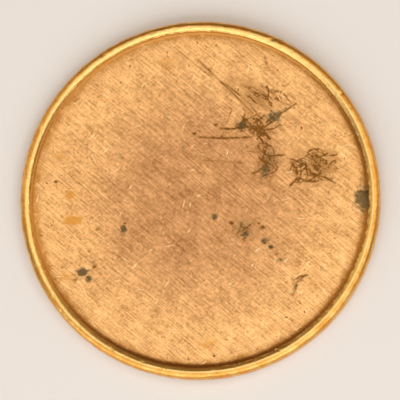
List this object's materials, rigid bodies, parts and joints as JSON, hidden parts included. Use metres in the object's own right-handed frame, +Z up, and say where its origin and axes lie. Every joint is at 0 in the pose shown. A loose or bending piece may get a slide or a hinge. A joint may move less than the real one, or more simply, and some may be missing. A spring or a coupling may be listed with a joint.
{
  "type": "golf ball marker",
  "caption": "Thin round metal disc with a raised rim around a plain recessed face, laid on a putting green to hold a ball's place; enamel and an aiming line on its underside.",
  "frame": {"origin": "centre of the ring of contact that the marker rests on, at its enamelled side", "axes": "+Z up through the disc towards the plain recessed face, +X along the aiming line"},
  "size_m": [0.025, 0.025, 0.0012],
  "materials": {
    "rim_brass": "polished yellow brass, worn and tarnished in its corners",
    "back_red_brass": "brushed copper-coloured red brass with scratches, spots of tarnish and a dark border",
    "core_steel": "bare mild steel blank",
    "front_brass": "satin brass",
    "green_enamel": "dark green hard enamel, ground flush",
    "white_enamel": "white hard enamel, ground flush",
    "clear_resin": "clear glossy resin"
  },
  "bodies": {
    "root": {"rim_ring": "rim_brass", "back_disc": "back_red_brass", "core_disc": "core_steel", "front_disc": "front_brass", "upper_enamel": "green_enamel", "lower_enamel": "green_enamel", "aim_line": "white_enamel", "clear_coat": "clear_resin"}
  },
  "joints": []
}
